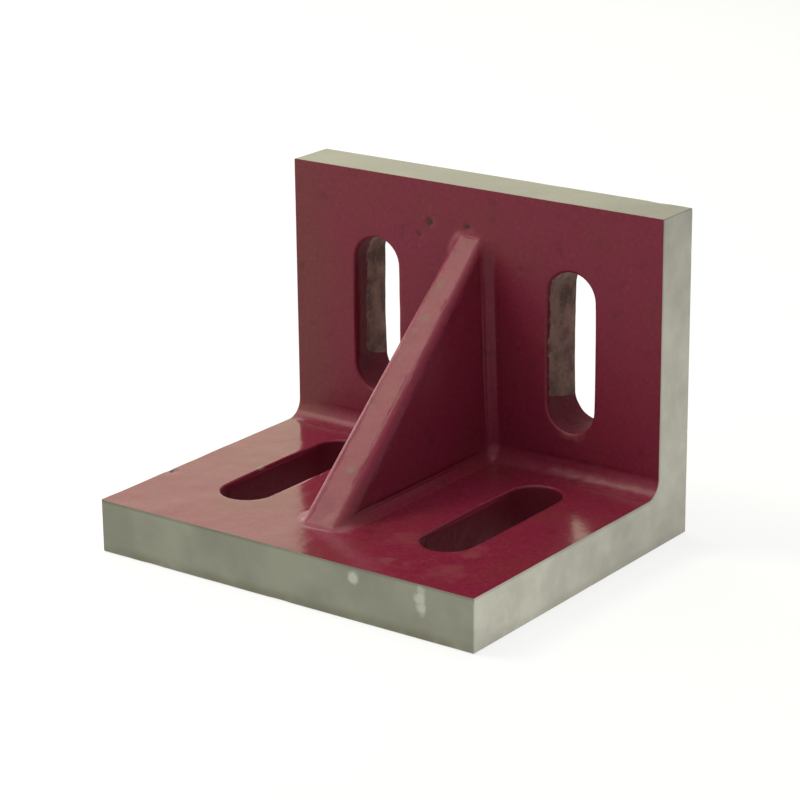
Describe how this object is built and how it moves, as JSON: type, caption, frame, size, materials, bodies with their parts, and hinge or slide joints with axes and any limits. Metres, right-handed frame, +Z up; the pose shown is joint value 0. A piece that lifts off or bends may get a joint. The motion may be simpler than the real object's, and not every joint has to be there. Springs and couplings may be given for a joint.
{
  "type": "angle plate",
  "caption": "Right-angle iron bracket with ground outer faces, long slots in base and upright wall, and a sloping web between the slots, for clamping work square.",
  "frame": {"origin": "middle of the underside", "axes": "+X along the plate, +Y towards the upright wall's ground back face, +Z up"},
  "size_m": [0.1524, 0.127, 0.1143],
  "materials": {
    "casting": "glossy wine-red paint on the cast inside faces and web, ground bare grey iron on the outer faces, rough unpainted casting inside the slots"
  },
  "bodies": {
    "root": {"angle_plate": "casting"}
  },
  "joints": []
}
